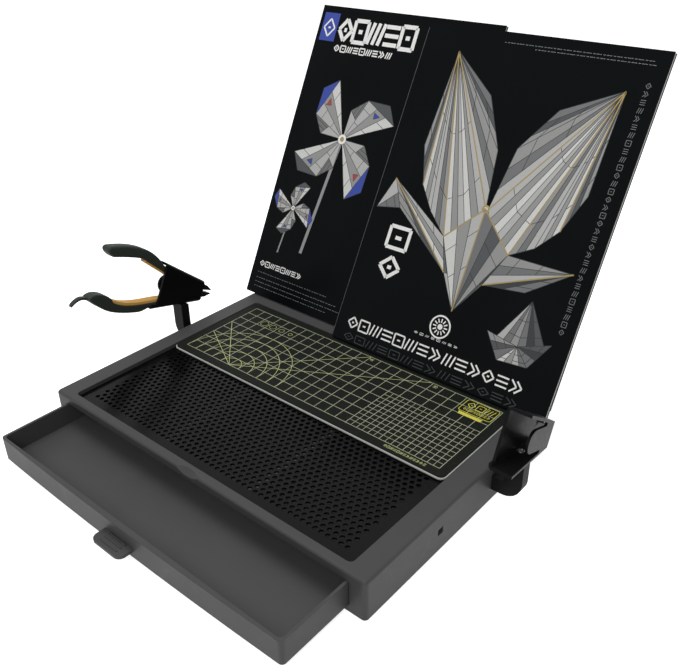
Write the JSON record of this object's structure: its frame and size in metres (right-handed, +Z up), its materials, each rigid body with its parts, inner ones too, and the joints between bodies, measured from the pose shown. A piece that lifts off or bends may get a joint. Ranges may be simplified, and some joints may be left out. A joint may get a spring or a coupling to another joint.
{
  "type": "hobby workstation organizer",
  "caption": "Low desk organizer with a pull-out drawer, a sunk work plate with cutting mat, a leaning back rest with booklets and plug-in tool sleeves on both sides, one holding nippers.",
  "frame": {"origin": "centre of the base's footprint, on the surface it stands on", "axes": "+X to the right, +Y to the back, +Z up; the drawer opens towards -Y"},
  "size_m": [0.3552, 0.3937, 0.2659],
  "materials": {
    "base_plastic": "fine moulded texture",
    "drawer_plastic": "fine moulded texture",
    "runner_plastic": "smooth",
    "plate_plastic": "semi-gloss, perforated",
    "mat_vinyl": "matt, printed grid",
    "mat_core_vinyl": "satin",
    "foot_rubber": "matt",
    "screw_steel": "zinc plated",
    "cover_paper": "coated card",
    "page_paper": "uncoated",
    "sleeve_plastic": "semi-gloss",
    "arm_plastic": "fine moulded texture",
    "tool_steel": "black oxide and ground edges",
    "grip_rubber": "soft touch",
    "lining_rubber": "soft touch"
  },
  "bodies": {
    "base": {"base_shell": "base_plastic", "bottom_plate": "base_plastic", "bottom_screws": "screw_steel", "foot_front_left": "foot_rubber", "foot_front_right": "foot_rubber", "foot_rear_left": "foot_rubber", "foot_rear_right": "foot_rubber", "drawer_runner_left": "runner_plastic", "drawer_runner_right": "runner_plastic", "work_plate": "plate_plastic"},
    "drawer": {"drawer_tray": "drawer_plastic"},
    "cutting_mat": {"mat_base_layer": "mat_vinyl", "mat_core_layer": "mat_core_vinyl", "mat_print_layer": "mat_vinyl"},
    "back_rest": {"back_rest": "base_plastic"},
    "rear_booklet": {"rear_booklet_cover": "cover_paper", "rear_booklet_pages": "page_paper"},
    "front_booklet": {"front_booklet_cover": "cover_paper", "front_booklet_pages": "page_paper"},
    "holder_left": {"tool_sleeve_left": "sleeve_plastic", "holder_arm_left": "arm_plastic", "sleeve_screw_left": "screw_steel"},
    "holder_right": {"tool_sleeve_right": "sleeve_plastic", "holder_arm_right": "arm_plastic", "sleeve_screw_right": "screw_steel"},
    "nippers": {"nipper_jaw_lower": "tool_steel", "nipper_grip_upper": "grip_rubber", "nipper_lining_upper": "lining_rubber", "nipper_rivet": "tool_steel", "nipper_spring": "tool_steel"},
    "nipper_handle": {"nipper_jaw_upper": "tool_steel", "nipper_grip_lower": "grip_rubber", "nipper_lining_lower": "lining_rubber"}
  },
  "joints": [
    {"name": "drawer_slide", "type": "slide", "parent": "base", "child": "drawer", "axis": [0, -1, 0], "range_m": [-0.0541, 0.09]},
    {"name": "mat_slide", "type": "slide", "parent": "base", "child": "cutting_mat", "axis": [0, -1, 0], "range_m": [0, 0.09]},
    {"name": "back_rest_lift", "type": "slide", "parent": "base", "child": "back_rest", "axis": [0, 0.4509, 0.8926], "range_m": [0, 0.03]},
    {"name": "rear_booklet_lift", "type": "slide", "parent": "base", "child": "rear_booklet", "axis": [0, 0.4509, 0.8926], "range_m": [0, 0.15]},
    {"name": "front_booklet_lift", "type": "slide", "parent": "base", "child": "front_booklet", "axis": [0, 0.4509, 0.8926], "range_m": [0, 0.15]},
    {"name": "holder_left_pull", "type": "slide", "parent": "base", "child": "holder_left", "axis": [-1, 0, 0], "range_m": [0, 0.03]},
    {"name": "holder_right_pull", "type": "slide", "parent": "base", "child": "holder_right", "axis": [1, 0, 0], "range_m": [0, 0.03]},
    {"name": "nippers_draw", "type": "slide", "parent": "holder_left", "child": "nippers", "axis": [0, -0.891, 0.454], "range_m": [0, 0.08]},
    {"name": "nippers_squeeze", "type": "hinge", "parent": "nippers", "child": "nipper_handle", "pos_m": [-0.1683, 0.04486, 0.05275], "axis": [-1, 0, 0], "range_deg": [0, 6], "stiffness_Nm_per_rad": 0.5}
  ]
}
